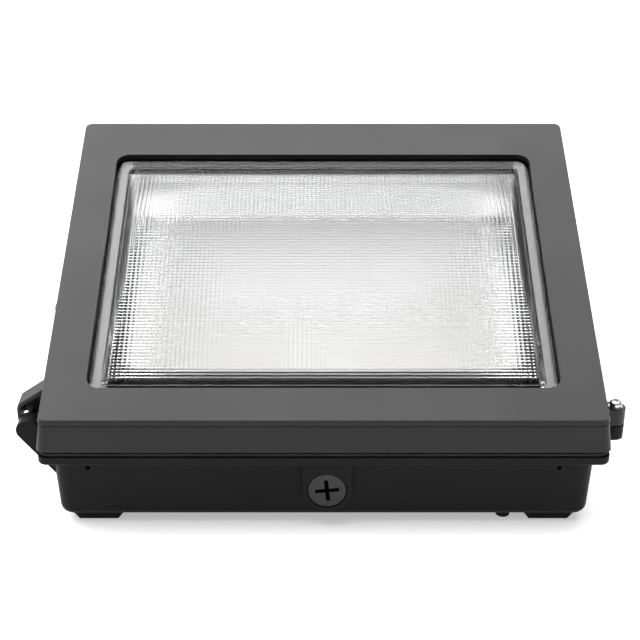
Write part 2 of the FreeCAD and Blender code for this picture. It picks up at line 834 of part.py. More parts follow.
def glass_solid(name, side_outline, front_outline, plan):
    """What a side outline, a front outline and a plan with round corners, all carried right through, share."""
    solids = []
    reach = HALF_WINDOW + 20
    start = face_place(Size(0), Size(0), Size(0))
    for label, outline in (("side", side_outline), ("front", front_outline)):
        sketch = doc.addObject("Sketcher::SketchObject", name + "_" + label)
        polygon(sketch, outline)
        prism = doc.addObject("Part::Extrusion", name + "_" + label + "_prism")
        prism.Base = sketch
        prism.Solid = True
        prism.DirMode = "Normal"
        if label == "side":
            turn = FreeCAD.Rotation(FreeCAD.Vector(1, 1, 1), 120)
            bind(prism, "LengthFwd", reach)
            bind(prism, "LengthRev", reach)
        else:
            turn = FreeCAD.Rotation(FreeCAD.Vector(1, 0, 0), 90)
            bind(prism, "LengthFwd", 0)
            bind(prism, "LengthRev", D["face_length"])
        sketch.Placement = FreeCAD.Placement(FreeCAD.Vector(0, 0, 0), turn)
        solids.append(prism)
    sketch = rounded_rectangle(doc.addObject("Sketcher::SketchObject", name + "_plan"), *plan)
    prism = doc.addObject("Part::Extrusion", name + "_plan_prism")
    prism.Base = sketch
    prism.Solid = True
    prism.DirMode = "Normal"
    bind(prism, "LengthFwd", 20)
    bind(prism, "LengthRev", 20)
    solids.append(prism)
    common = doc.addObject("Part::MultiCommon", name)
    common.Shapes = solids
    return place(common, *start, FreeCAD.Vector(1, 0, 0), TILT)


def glass_refractor():
    """Moulded glass: a shallow hipped tent with a ridge across it, hollow inside, on a flat flange."""
    gap = D["glass_side_gap"]
    wall = D["glass_wall"]
    seat = D["window_rim_depth"]
    near = WINDOW_NEAR + gap
    far = WINDOW_FAR - gap - 1.1
    half = HALF_WINDOW - gap
    ridge = D["glass_ridge_along"]
    crest = D["glass_crest_along"]
    high = D["glass_ridge_height"]
    side_crest = D["glass_side_crest"]
    outside = glass_solid(
        "glass_outside",
        [(near, -GLASS_BACK), (far, -GLASS_BACK), (far, -seat), (crest, D["glass_crest_height"]),
         (ridge, high), (near + 3.4, 0.5), (near, -seat)],
        [(-half, -GLASS_BACK), (half, -GLASS_BACK), (half, -seat), (side_crest + 2.5, 1), (side_crest, high + 1),
         (-side_crest, high + 1), (-side_crest - 2.5, 1), (-half, -seat)],
        (-half, half, near, far, D["window_corner"] - gap))
    inside = glass_solid(
        "glass_inside",
        [(near + wall, -GLASS_BACK - 1), (far - wall, -GLASS_BACK - 1), (far - wall, -seat - 2),
         (crest - 1.2, D["glass_crest_height"] - wall), (ridge, high - wall), (near + wall + 3, 0.5 - wall),
         (near + wall, -seat)],
        [(-half + wall, -GLASS_BACK - 1), (half - wall, -GLASS_BACK - 1), (half - wall, -seat),
         (side_crest + 2.2 - wall, 0), (side_crest - wall, high), (wall - side_crest, high),
         (wall - side_crest - 2.2, 0), (wall - half, -seat)],
        (wall - half, half - wall, near + wall, far - wall, D["window_corner"] - gap - wall + 1))
    reach = D["glass_flange_reach"]
    flange = box("glass_flange", -HALF_WINDOW - reach, HALF_WINDOW + reach, 0, WINDOW_FAR - WINDOW_NEAR + 2 * reach,
                 0, D["glass_flange"])
    corner = face_place(-HALF_WINDOW - reach, WINDOW_NEAR - reach, -GLASS_BACK)
    place(flange, *corner, FreeCAD.Vector(1, 0, 0), TILT)
    whole = fuse("glass_whole", [outside, flange])
    finish(cut("glass_refractor", whole, inside), "glass_refractor")


def glass_gasket():
    """A thin silicone ring between the window's rim and the glass's flange."""
    body = new_body("glass_gasket")
    ring = face_sketch(body, GLASS_SEAT)
    rounded_rectangle(ring, -HALF_WINDOW - 5, HALF_WINDOW + 5, WINDOW_NEAR - 5, WINDOW_FAR + 5, 8)
    rounded_rectangle(ring, -HALF_WINDOW - 1, HALF_WINDOW + 1, WINDOW_NEAR - 1, WINDOW_FAR + 1, 6)
    pad(body, ring, D["glass_seal"])
    finish(body, "glass_gasket")


def glass_clips():
    """Six steel clips that hold the glass up against its gasket, and their screws."""
    thickness = 1.2
    clips = []
    screws = []
    for number, (across, along, way) in enumerate(clip_places()):
        inner = along - way * 5
        outer = along + way * 12
        low = inner if way > 0 else outer
        plate = box("clip_plate%d" % number, 0, 14, 0, 17, 0, thickness)
        place(plate, *face_place(as_size(across - 7), low, -GLASS_BACK - thickness), FreeCAD.Vector(1, 0, 0), TILT)
        hole = below_face("clip_hole%d" % number, across, along, GLASS_BACK + 2, 1.6, 4)
        clips.append(cut("clip%d" % number, plate, hole))
        head = below_face("clip_head%d" % number, across, along, GLASS_BACK + thickness + 2, 2.8, 2)
        shank = below_face("clip_shank%d" % number, across, along, GLASS_BACK + thickness + 1, 1.2, 7)
        screws.append(fuse("clip_screw%d" % number, [head, shank]))
    finish(group("glass_clips", clips), "glass_clips")
    finish(group("clip_screws", screws), "clip_screws")


# ---------------------------------------------------------------- captive screws


def screw_stack(name, y):
    """A captive screw: pan head with a cross recess, two washers, and a ring that keeps it in the door's lug."""
    x = D["pivot_offset"]
    top = D["lug_top"]
    shank = D["pin_radius"]
    flat_washer = cut(name + "_flat_washer", cylinder(name + "_flat_disc", x, y, top, 4.5, 0.8),
                      cylinder(name + "_flat_hole", x, y, top - 1, shank + 0.15, 3))
    spring_disc = cylinder(name + "_spring_disc", x, y, top + 0.8, 3.8, 1)
    spring_hole = cylinder(name + "_spring_hole", x, y, top, shank + 0.15, 3)
    split = box(name + "_spring_split", x, x + 5, y - 0.4, y + 0.4, top, top + 3)
    spring_washer = cut(name + "_spring_washer", spring_disc, fuse(name + "_spring_cuts", [spring_hole, split]))

    body = new_body(name + "_captive_screw")
    seat = top + 1.8
    turning = sketch_on(body, "XZ", y, across=x)
    tip = D["lug_split"] - 7
    polygon(turning, [
        (0, tip), (shank - 0.6, tip), (shank, tip + 0.8), (shank, seat), (3.9, seat), (3.9, seat + 1.5),
        (3.3, seat + 2.4), (2.2, seat + 2.9), (0, seat + 3.1),
    ])
    revolve(body, turning)
    for half_x, half_y in ((2.3, 0.5), (0.5, 2.3)):
        slot = sketch_on(body, "XY", seat + 3.2, x, y)
        bind(slot, "AttachmentOffset.Rotation.Angle", 20)
        rectangle(slot, -half_x, half_x, -half_y, half_y)
        pocket(body, slot, 1.8)
    finish(body, name + "_captive_screw")

    ring_bottom = D["lug_split"] + D["lug_play"] + 0.1
    ring = cut(name + "_retaining_ring", cylinder(name + "_ring_disc", x, y, ring_bottom, 3.7, 0.8),
               cylinder(name + "_ring_hole", x, y, ring_bottom - 1, shank, 3))
    finish(flat_washer, name + "_flat_washer")
    finish(spring_washer, name + "_spring_washer")
    finish(ring, name + "_retaining_ring")


# ---------------------------------------------------------------- inside the light


def board_bounds(side):
    """Left and right edges of one board."""
    inner = D["board_gap"] / 2
    outer = inner + D["board_width"]
    return (inner, outer) if side > 0 else (-outer, -inner)


def board_screw_places():
    inset = 6
    places = []
    for side in (-1, 1):
        left, right = board_bounds(side)
        half = D["board_length"] / 2
        places += [(x, y) for x in (left + inset, right - inset) for y in (inset - half, half - inset)]
    return places


def reflector_screw_places():
    return [(side * D["post_across"], end * D["post_along"]) for side in (-1, 1) for end in (-1, 1)]


def reflector():
    """A white sheet-metal tray whose sides flare up towards the door's face."""
    body = new_body("reflector")
    sheet_size = D["reflector_sheet"]
    for inset, cutting in ((Size(0), False), (sheet_size, True)):
        base = sketch_on(body, "XY", D["reflector_height"] + inset)
        rounded_rectangle(base, inset - 127.5, 127.5 - inset, inset - 80, 86 - inset, 7 - inset)
        brim = rounded_rectangle(
            face_sketch(body, 14), inset - 130, 130 - inset, 47.5 + inset, 228 - inset, 11 - inset)
        loft(body, base, brim, cut=cutting)
    holes = sketch_on(body, "XY", D["reflector_height"] + 2)
    for x, y in reflector_screw_places():
        circle(holes, x, y, 1.8)
    for x, y in board_screw_places():
        circle(holes, x, y, 1.2)
    circle(holes, 95, 80, 4)
    pocket(body, holes, 4)
    finish(body, "reflector")


def led_board(name, side):
    """An aluminium-backed circuit board, screwed flat on the reflector's floor."""
    body = new_body(name + "_led_board")
    left, right = board_bounds(side)
    half = D["board_length"] / 2
    top = D["reflector_height"] + D["reflector_sheet"]
    plate = sketch_on(body, "XY", top)
    rounded_rectangle(plate, left, right, -half, half, 2)
    for x, y in board_screw_places():
        if (x.value > 0) == (side > 0):
            circle(plate, x, y, 1.6)
    pad(body, plate, D["board_thickness"])
    finish(body, name + "_led_board")


def led_emitters(name, side):
    """The rows of small square emitters on one board."""
    left, right = board_bounds(side)
    across = (left.value + right.value) / 2
    bottom = (D["reflector_height"] + D["reflector_sheet"] + D["board_thickness"]).value
    columns = 8
    rows = 8
    size = 3
    pitch_x = 12.6
    pitch_y = 14.5
    chips = []
    for column in range(columns):
        for row in range(rows):
            x = across + (column - (columns - 1) / 2) * pitch_x
            y = (row - (rows - 1) / 2) * pitch_y - 4
            chips.append(Part.makeBox(size, size, 0.8, FreeCAD.Vector(x - size / 2, y - size / 2, bottom)))
    item = doc.addObject("Part::Feature", name + "_led_emitters")
    item.Shape = Part.makeCompound(chips)
    item.Placement = FreeCAD.Placement()
    finish(item, name + "_led_emitters")


def small_screws(name, places, head_bottom, shank_length, head_radius=2.8, shank_radius=1.5):
    """Like pan-head screws that stand upright at several places."""
    screws = []
    for number, (x, y) in enumerate(places):
        head = cylinder("%s_head%d" % (name, number), x, y, head_bottom, head_radius, 2)
        shank = cylinder("%s_shank%d" % (name, number), x, y, head_bottom - shank_length, shank_radius,
                         shank_length + 1)
        screws.append(fuse("%s_screw%d" % (name, number), [head, shank]))
    finish(group(name, screws), name)


def led_driver():
    """The sealed power supply, a box on a base plate with two ears."""
    body = new_body("led_driver")
    half = D["driver_length"] / 2
    near = D["driver_along"] - D["driver_width"] / 2
    far = D["driver_along"] + D["driver_width"] / 2
    case = rounded_rectangle(sketch_on(body, "XY", D["driver_seat"]), -half, half, near, far, 3)
    pad(body, case, D["driver_height"])
    top = (D["driver_seat"] + D["driver_height"]).value
    dress(body, "Fillet", lambda found: near_height(found, top), 2)
    ears = rounded_rectangle(
        sketch_on(body, "XY", D["driver_seat"]), -half - 18, half + 18, D["driver_along"] - 9,
        D["driver_along"] + 9, 3)
    pad(body, ears, 1.5)
    holes = sketch_on(body, "XY", D["driver_seat"] + 5)
    for side in (-1, 1):
        circle(holes, side * 86, D["driver_along"], 1.8)
    pocket(body, holes, 8)
    finish(body, "led_driver")


def wire(name, points, radius):
    """A round wire along straight runs that tangent arcs join."""
    corners = [FreeCAD.Vector(*point) for point in points]
    path = []
    start = corners[0]
    for before, corner, after in zip(corners, corners[1:], corners[2:]):
        arriving = (corner - before).normalize()
        leaving = (after - corner).normalize()
        turn = arriving.getAngle(leaving)
        trim = 0.45 * min((corner - before).Length, (after - corner).Length)
        arc_start = corner - arriving * trim
        arc_end = corner + leaving * trim
        outward = (arriving - leaving).normalize()
        sagitta = trim / math.tan(turn / 2) * (1 / math.cos(turn / 2) - 1)
        arc_middle = corner - outward * sagitta
        path.append(Part.LineSegment(start, arc_start).toShape())
        path.append(Part.Arc(arc_start, arc_middle, arc_end).toShape())
        start = arc_end
    path.append(Part.LineSegment(start, corners[-1]).toShape())
    spine = Part.Wire(path)
    section = Part.Wire(Part.makeCircle(radius, corners[0], (corners[1] - corners[0]).normalize()))
    item = doc.addObject("Part::Feature", name)
    item.Shape = spine.makePipeShell([section], True, False)
    item.Placement = FreeCAD.Placement()
    finish(item, name)


def wiring():
    """Leads from the driver to the boards and to the supply connectors, and the ground lead."""
    radius = 1.2
    wire("supply_lead_line", [(-75, 60, 30), (-92, 60, 30), (-106, 42, 26), (-108, 14, 21), (-104, -12, 18),
                              (-104, -30, 18)], radius)
    wire("supply_lead_neutral", [(-75, 78, 24), (-98, 78, 24), (-118, 60, 20), (-122, 30, 16), (-121, 0, 15),
                                 (-121, -30, 15)], radius)
    wire("ground_lead", [(-60, -55, 14.4), (-60, -38, 15), (-67, -20, 17), (-79, -12, 18), (-87, -19, 18),
                         (-87, -30, 18)], radius)
    wire("led_lead_positive", [(75, 50, 34), (85, 50, 34), (92, 58, 35), (93.6, 70, 37), (93.6, 80, 44),
                               (93.6, 80, 53), (93.6, 77, 58.5), (93.6, 70, 59.5), (93.6, 66, 57),
                               (93.6, 66, 51.65)], radius)
    wire("led_lead_negative", [(75, 44, 28), (88, 44, 28), (95, 54, 30), (96.4, 68, 33), (96.4, 80, 42),
                               (96.4, 80, 53), (96.4, 77, 58.5), (96.4, 70, 59.5), (96.4, 66, 57),
                               (96.4, 66, 51.65)], radius)
    grommet = cut("lead_grommet", cylinder("grommet_body", 95, 80, D["reflector_height"] - 1, 4, 3),
                  cylinder("grommet_hole", 95, 80, D["reflector_height"] - 2, 2.8, 6))
    finish(grommet, "lead_grommet")
    connectors = []
    for number, (x, z) in enumerate(((-104, 18), (-121, 15), (-87, 18))):
        nut = doc.addObject("Part::Cone", "connector%d" % number)
        bind(nut, "Radius1", 6)
        bind(nut, "Radius2", 3.6)
        bind(nut, "Height", 22)
        connectors.append(place(nut, x, -30, z, FreeCAD.Vector(1, 0, 0), 90))
    finish(group("wire_connectors", connectors), "wire_connectors")


def check_and_export():
    """Stops if any object failed, then writes one file for each finished sub-part."""
    doc.recompute()
    for item in doc.Objects:
        if "Invalid" in item.State or "Error" in item.State:
            raise RuntimeError("%s is %s" % (item.Name, item.State))
    os.makedirs("parts", exist_ok=True)
    for item in finished:
        if item.Shape.isNull() or not item.Shape.isValid():
            raise RuntimeError("%s has no valid shape" % item.Label)
        item.Shape.exportStep("parts/%s.step" % item.Label)
        found = item.Shape.BoundBox
        print("%-24s %3d solids %10.1f mm3  x %7.1f %7.1f  y %7.1f %7.1f  z %6.1f %6.1f" % (
            item.Label, len(item.Shape.Solids), item.Shape.Volume, found.XMin, found.XMax, found.YMin,
            found.YMax, found.ZMin, found.ZMax))


back_housing()
door_gasket()
for hinge_found in HINGES:
    hinge_pin(hinge_found)
conduit_plug("lower_conduit_plug", -1)
conduit_plug("upper_conduit_plug", 1)
door_frame()
glass_refractor()
glass_gasket()
glass_clips()
for lug_name, lug_along in LUGS:
    screw_stack(lug_name, lug_along)
reflector()
for board_name, board_side in (("left", -1), ("right", 1)):
    led_board(board_name, board_side)
    led_emitters(board_name, board_side)
REFLECTOR_FLOOR = D["reflector_height"] + D["reflector_sheet"]
small_screws("reflector_screws", reflector_screw_places(), REFLECTOR_FLOOR, 5)
small_screws("board_screws", board_screw_places(), REFLECTOR_FLOOR + D["board_thickness"], 4, 2.5, 1.15)
led_driver()
small_screws("driver_screws", [(-86, D["driver_along"]), (86, D["driver_along"])], D["driver_seat"] + 1.5, 5)
small_screws("ground_screw", [(-60, -60)], D["driver_seat"] + 1, 5, 3.6, 1.5)
wiring()
check_and_export()
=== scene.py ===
"""Wall pack light, dressed: powder-coated castings, a pressed prismatic glass, plated screws and a white inside.

The light lies on its back on a pale floor: X across it, Y from its low end to its high end, Z out of the wall.
All sizes are in metres.
"""
import math

import bpy
import numpy as np
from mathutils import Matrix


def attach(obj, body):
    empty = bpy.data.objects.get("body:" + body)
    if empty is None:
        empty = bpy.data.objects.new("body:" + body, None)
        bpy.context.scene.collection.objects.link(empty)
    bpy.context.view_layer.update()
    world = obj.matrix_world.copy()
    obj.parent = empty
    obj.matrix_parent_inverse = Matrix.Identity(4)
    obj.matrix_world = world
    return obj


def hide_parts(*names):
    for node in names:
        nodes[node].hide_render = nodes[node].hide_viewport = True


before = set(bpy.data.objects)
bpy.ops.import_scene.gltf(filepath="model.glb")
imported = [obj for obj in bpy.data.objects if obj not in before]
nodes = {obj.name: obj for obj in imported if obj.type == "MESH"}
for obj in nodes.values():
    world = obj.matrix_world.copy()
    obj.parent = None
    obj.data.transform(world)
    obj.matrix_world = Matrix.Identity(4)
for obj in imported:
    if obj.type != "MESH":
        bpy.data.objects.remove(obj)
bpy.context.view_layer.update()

# ---------------------------------------------------------------- studio
# A pale floor under a soft white dome: brightest a little behind the light, where its sloping face mirrors it, and
# dimmer towards the viewer, so that the upright walls stay dark.

FLOOR_REACH = 6.0
FLOOR_TONE = (0.66, 0.66, 0.66, 1)
FLOOR_GLOW = 0.40
DOME_CENTRE = (-0.22, 0.35, 0.91)
DOME_STOPS = [(0.0, 0.36), (0.42, 0.46), (0.62, 1.1), (0.80, 4.6), (1.0, 7.8)]
CAMERA_PLACE = (-0.00228, -0.86997, 0.52872)
CAMERA_DIP = math.radians(27)
CAMERA_LENS, CAMERA_SENSOR = 78.75, 36


def material(name):
    """A new node material, with its node tree and its Principled shader."""
    made = bpy.data.materials.new(name)
    made.use_nodes = True
    return made, made.node_tree, made.node_tree.nodes["Principled BSDF"]


def set_inputs(shader, **values):
    """Sets plain numbers and colours on a shader's own sockets, named with underscores for spaces."""
    for name, value in values.items():
        shader.inputs[name.replace("_", " ")].default_value = value


def feed(tree, socket, value):
    """Links a value that varies, or sets one that doesn't."""
    if isinstance(value, bpy.types.NodeSocket):
        tree.links.new(value, socket)
    else:
        socket.default_value = value


def remap(tree, source, start, end, low=0, high=1):
    """Straight line from low at start to high at end, and level beyond both."""
    change = tree.nodes.new("ShaderNodeMapRange")
    for name, value in (("Value", source), ("From Min", start), ("From Max", end), ("To Min", low), ("To Max", high)):
        feed(tree, change.inputs[name], value)
    return change.outputs["Result"]


def vector_maths(tree, operation, first, second):
    """One step of vector arithmetic on two vectors."""
    step = tree.nodes.new("ShaderNodeVectorMath")
    step.operation = operation
    feed(tree, step.inputs[0], first)
    feed(tree, step.inputs[1], second)
    return step


def studio_dome():
    """Brightness of the surroundings as a function of the cosine between a direction and the dome's centre."""
    world = bpy.data.worlds.new("studio_dome")
    world.use_nodes = True
    tree = world.node_tree
    direction = tree.nodes.new("ShaderNodeTexCoord").outputs["Generated"]
    cosine = vector_maths(tree, "DOT_PRODUCT", direction, DOME_CENTRE).outputs["Value"]
    curve = tree.nodes.new("ShaderNodeFloatCurve")
    points = curve.mapping.curves[0].points
    top = DOME_STOPS[-1][1]
    for number, (cos_angle, bright) in enumerate(DOME_STOPS):
        spot = ((cos_angle + 1) / 2, bright / top)
        if number < 2:
            points[number].location = spot
        else:
            points.new(*spot)
    curve.mapping.update()
    tree.links.new(remap(tree, cosine, -1, 1), curve.inputs["Value"])
    light = tree.nodes["Background"]
    tree.links.new(curve.outputs["Value"], light.inputs["Color"])
    light.inputs["Strength"].default_value = top
    bpy.context.scene.world = world


def grid_faces(rows, columns):
    """The four corners of each face of a grid: a point, the next in its row, and the two of the row after."""
    index = np.arange(rows * columns).reshape(rows, columns)
    corners = [index[:-1, :-1], index[:-1, 1:], index[1:, 1:], index[1:, :-1]]
    return np.stack(corners, axis=-1).reshape(-1, 4)


def add_piece(name, points, faces, finish):
    """Puts points and faces into the scene as a smooth piece with its material."""
    mesh = bpy.data.meshes.new(name)
    mesh.from_pydata(points.reshape(-1, 3).tolist(), [], faces)
    mesh.materials.append(finish)
    mesh.polygons.foreach_set("use_smooth", np.ones(len(mesh.polygons), dtype=bool))
    piece = bpy.data.objects.new(name, mesh)
    bpy.context.scene.collection.objects.link(piece)
    return piece


def studio_floor():
    """A flat square of floor, large enough to fill the picture."""
    side = np.array([-FLOOR_REACH, FLOOR_REACH])
    x, y = np.meshgrid(side, side)
    paint, tree, shader = material("floor_paint")
    set_inputs(shader, Base_Color=FLOOR_TONE, Roughness=0.9, Specular_IOR_Level=0.1,
               Emission_Color=(1, 1, 1, 1), Emission_Strength=FLOOR_GLOW)
    add_piece("floor", np.stack([x, y, np.zeros_like(x)], axis=-1), grid_faces(2, 2).tolist(), paint)


def studio_camera():
    """The camera stands where the photograph was taken from, and looks down at the light."""
    camera = bpy.data.cameras.new("camera")
    camera.lens = CAMERA_LENS
    camera.sensor_width = CAMERA_SENSOR
    holder = bpy.data.objects.new("camera", camera)
    holder.location = CAMERA_PLACE
    holder.rotation_euler = (math.radians(90) - CAMERA_DIP, 0, 0)
    bpy.context.scene.collection.objects.link(holder)
    bpy.context.scene.camera = holder


studio_dome()
studio_floor()
studio_camera()
bpy.context.scene.view_settings.view_transform = "Standard"

# ---------------------------------------------------------------- housing and door castings
# The pan that is bolted to the wall and the wedge-shaped door that closes it: die-cast aluminium, powder coated in a
# dark grey that is nearly black. The coat is satin, with a very fine grain, and a little glossier on the door.

COAT_DARK, COAT_LIGHT = (0.0088, 0.0088, 0.0088), (0.0112, 0.0112, 0.0112)
COAT_ROUGHNESS = (0.40, 0.50)
DOOR_GLOSS, HOUSING_GLOSS = 0.22, 0.05
NOISE_LOW, NOISE_HIGH = 0.3, 0.7


def noise(tree, waves, detail=2):
    """Noise that is fixed to the piece, in waves per metre."""
    wave = tree.nodes.new("ShaderNodeTexNoise")
    wave.inputs["Scale"].default_value = waves
    wave.inputs["Detail"].default_value = detail
    tree.links.new(tree.nodes.new("ShaderNodeTexCoord").outputs["Object"], wave.inputs["Vector"])
    return wave.outputs["Fac"]


def spread(tree, source, low, high):
    """A noise stretched to a range of values."""
    return remap(tree, source, NOISE_LOW, NOISE_HIGH, low, high)


def mix_colours(tree, share, first, second):
    """One colour that changes into another with a share from 0 to 1."""
    mix = tree.nodes.new("ShaderNodeMix")
    mix.data_type = "RGBA"
    for name, value in (("Factor", share), ("A", first), ("B", second)):
        feed(tree, mix.inputs[name], value)
    return mix.outputs["Result"]


def tint(tree, source, dark, light):
    """A noise as a colour between a dark and a light one."""
    return mix_colours(tree, spread(tree, source, 0, 1), (*dark, 1), (*light, 1))


def bump(tree, shader, source, depth):
    """Raises the surface by a noise, with a depth in metres."""
    relief = tree.nodes.new("ShaderNodeBump")
    relief.inputs["Strength"].default_value = 1
    relief.inputs["Distance"].default_value = depth
    tree.links.new(source, relief.inputs["Height"])
    tree.links.new(relief.outputs["Normal"], shader.inputs["Normal"])


def powder_coat(name, gloss):
    """Satin black powder coat: a grain of half a millimetre, on a slower unevenness of tone and gloss."""
    coat, tree, shader = material(name)
    slow = noise(tree, waves=14, detail=4)
    tree.links.new(tint(tree, slow, COAT_DARK, COAT_LIGHT), shader.inputs["Base Color"])
    tree.links.new(spread(tree, slow, *COAT_ROUGHNESS), shader.inputs["Roughness"])
    set_inputs(shader, Specular_IOR_Level=gloss)
    bump(tree, shader, noise(tree, waves=1500), depth=0.00003)
    return coat


def finish_nodes(finish, *names):
    """Gives carried-over CAD pieces their material."""
    for name in names:
        mesh = nodes[name].data
        mesh.materials.clear()
        mesh.materials.append(finish)


finish_nodes(powder_coat("door_coat", DOOR_GLOSS), "door_frame")
finish_nodes(powder_coat("housing_coat", HOUSING_GLOSS), "back_housing")

# ---------------------------------------------------------------- conduit plugs
# Threaded plugs that close the two conduit entries, cast in zinc, in the same coat as the housing but smoother. A
# wide screwdriver turns them by the cross slot in the head.

PLUG_FACE = 0.1271
SLOT_BOTTOM, SLOT_EDGE = PLUG_FACE - 0.0012, PLUG_FACE - 0.0004
# The slot's colour is painted shade: near black below the head's face, where the slot's shadow falls.
SLOT_SHADE = (0.002, 0.002, 0.002, 1)
PLUG_DARK, PLUG_LIGHT = (0.012, 0.012, 0.012), (0.018, 0.018, 0.018)
PLUG_GLOSS, PLUG_ROUGHNESS = 0.3, (0.36, 0.5)


def object_axes(tree):
    """The sockets X, Y and Z of a point on the piece."""
    parts = tree.nodes.new("ShaderNodeSeparateXYZ")
    tree.links.new(tree.nodes.new("ShaderNodeTexCoord").outputs["Object"], parts.inputs["Vector"])
    return parts.outputs


def maths(tree, operation, first, second=0.5):
    """One step of arithmetic on one or two numbers."""
    step = tree.nodes.new("ShaderNodeMath")
    step.operation = operation
    feed(tree, step.inputs[0], first)
    feed(tree, step.inputs[1], second)
    return step.outputs["Value"]


def plug_coat():
    """Smooth satin black on the head's face, and painted shade in the slot below it: near black and without gloss."""
    coat, tree, shader = material("plug_coat")
    # Painted shade in the slot: below the face the colour turns near black and the gloss goes to none.
    proud = remap(tree, maths(tree, "ABSOLUTE", object_axes(tree)["Y"]), SLOT_BOTTOM, SLOT_EDGE)
    face = tint(tree, noise(tree, waves=60, detail=3), PLUG_DARK, PLUG_LIGHT)
    tree.links.new(mix_colours(tree, proud, SLOT_SHADE, face), shader.inputs["Base Color"])
    tree.links.new(remap(tree, proud, 0, 1, 0, PLUG_GLOSS), shader.inputs["Specular IOR Level"])
    tree.links.new(spread(tree, noise(tree, waves=300), *PLUG_ROUGHNESS), shader.inputs["Roughness"])
    bump(tree, shader, noise(tree, waves=900), depth=0.00002)
    return coat


finish_nodes(plug_coat(), "lower_conduit_plug", "upper_conduit_plug")

# ---------------------------------------------------------------- gaskets and the lead grommet
# Black silicone: a moulded ring that lies between door and housing, a thin one under the glass, and a grommet that is
# pressed into the reflector for the leads.

SILICONE_DARK, SILICONE_LIGHT = (0.008, 0.008, 0.008), (0.016, 0.016, 0.016)


def silicone():
    """Matt black rubber with a dusty bloom."""
    rubber, tree, shader = material("silicone")
    bloom = tint(tree, noise(tree, waves=90, detail=4), SILICONE_DARK, SILICONE_LIGHT)
    tree.links.new(bloom, shader.inputs["Base Color"])
    set_inputs(shader, Roughness=0.7, Specular_IOR_Level=0.35)
    bump(tree, shader, noise(tree, waves=1200), depth=0.00003)
    return rubber


finish_nodes(silicone(), "door_gasket", "glass_gasket", "lead_grommet")

# ---------------------------------------------------------------- glass refractor
# One piece of clear pressed glass, clipped into the door: a shallow hipped tent on a flat lip and flange. Its outside
# has upright flutes and its inside has level prisms, which spread the light. The lip and the steep rim are clear.

# The door's sloping face: heights are out of it, and positions along it run up the slope from its low edge.
FACE_ORIGIN = np.array([0.0, -0.1296, 0.082])
FACE_TILT = math.radians(21.84)

FLANGE_HALF, FLANGE_NEAR, FLANGE_FAR = 0.156, 0.0196, 0.2486
FLANGE_TOP, FLANGE_BACK = -0.0056, -0.0086
LIP_HALF, LIP_NEAR, LIP_FAR = 0.148, 0.0276, 0.2395
LIP_HEIGHT, LIP_CORNER, RIM_SLOPE = -0.0034, 0.007, 8

# Outer profile up the slope, and across one half of the glass, as (position, height).
LEDGE_START, LEDGE_END, TENT_FOOT = (0.0280, -0.0013), (0.0294, -0.0013), (0.0306, 0.0005)
RIDGE, CREST, FAR_FOOT = (0.166, 0.0122), (0.217, 0.0035), (0.231, LIP_HEIGHT)
SHOULDER_TOP, SHOULDER_FOOT, SIDE_FOOT = (0.1385, 0.0132), (0.1402, 0.001), (0.1443, LIP_HEIGHT)
RIDGE_ROUND, LEDGE_ROUND, CREST_ROUND, SHOULDER_ROUND, HIP_ROUND, LIP_ROUND = (
    0.0006, 0.0005, 0.0012, 0.002, 0.0022, 0.0005)

# Inner profile, the same way.
HOLLOW_START, HOLLOW_FOOT = (0.032, LIP_HEIGHT - 0.002), (0.0338, -0.0035)
HOLLOW_RIDGE, HOLLOW_CREST, HOLLOW_END = (0.166, 0.0082), (0.2158, -0.0005), (0.2355, LIP_HEIGHT - 0.003)
HOLLOW_TOP, HOLLOW_SHOULDER, HOLLOW_SIDE = (0.1345, 0.0122), (0.1365, -0.001), (0.1405, LIP_HEIGHT - 0.003)
HOLLOW_INSET = 0.0044
HOLLOW_ROUND, HOLLOW_HIP_ROUND, HOLLOW_RIM_ROUND = 0.001, 0.002, 0.0008

# Flutes: how far they reach, as (none from here, full from here), and how much deeper they are below the ridge.
FLUTE_HALF, FLUTE_COUNT, FLUTE_HEIGHT, FLUTE_LEVEL = 0.1345, 93, 0.00055, 0.6
FLUTE_SIDES, FLUTE_NEAR, FLUTE_FAR = (0.1351, 0.1339), (0.0292, 0.0297), (0.224, 0.221)
COMB_DEPTH, COMB_REACH = 1.6, 0.005

# Prisms: reach as above, and a border of full depth round a middle that has a share of it.
PRISM_PITCH, PRISM_HEIGHT, PRISM_SHARE = 0.0025, 0.00058, 0.35
PRISM_SIDES, PRISM_NEAR, PRISM_FAR = (0.136, 0.135), (0.0338, 0.0348), (0.218, 0.216)
BORDER_SIDES, BORDER_NEAR = (0.112, 0.126), (0.046, 0.036)

# The two grids, as runs of (start, end, steps).
WAVE_STEPS = 6
FLUTE_STEPS = FLUTE_COUNT * WAVE_STEPS
PRISM_STEPS = round((LIP_FAR - LIP_NEAR) / PRISM_PITCH) * WAVE_STEPS
OUTER_ACROSS = [(-FLANGE_HALF, -0.149, 2), (-0.149, -FLUTE_HALF, 36), (-FLUTE_HALF, FLUTE_HALF, FLUTE_STEPS),
                (FLUTE_HALF, 0.149, 36), (0.149, FLANGE_HALF, 2)]
OUTER_ALONG = [(FLANGE_NEAR, 0.0266, 2), (0.0266, 0.036, 24), (0.036, 0.153, 13), (0.153, 0.170, 16),
               (0.170, 0.215, 6), (0.215, 0.222, 8), (0.222, 0.231, 3), (0.231, 0.2405, 18), (0.2405, FLANGE_FAR, 2)]
INNER_ACROSS = [(-FLANGE_HALF, -0.145, 3), (-0.145, -0.130, 30), (-0.130, 0.130, 8), (0.130, 0.145, 30),
                (0.145, FLANGE_HALF, 3)]
INNER_ALONG = [(FLANGE_NEAR, LIP_NEAR, 2), (LIP_NEAR, LIP_FAR, PRISM_STEPS), (LIP_FAR, FLANGE_FAR, 2)]
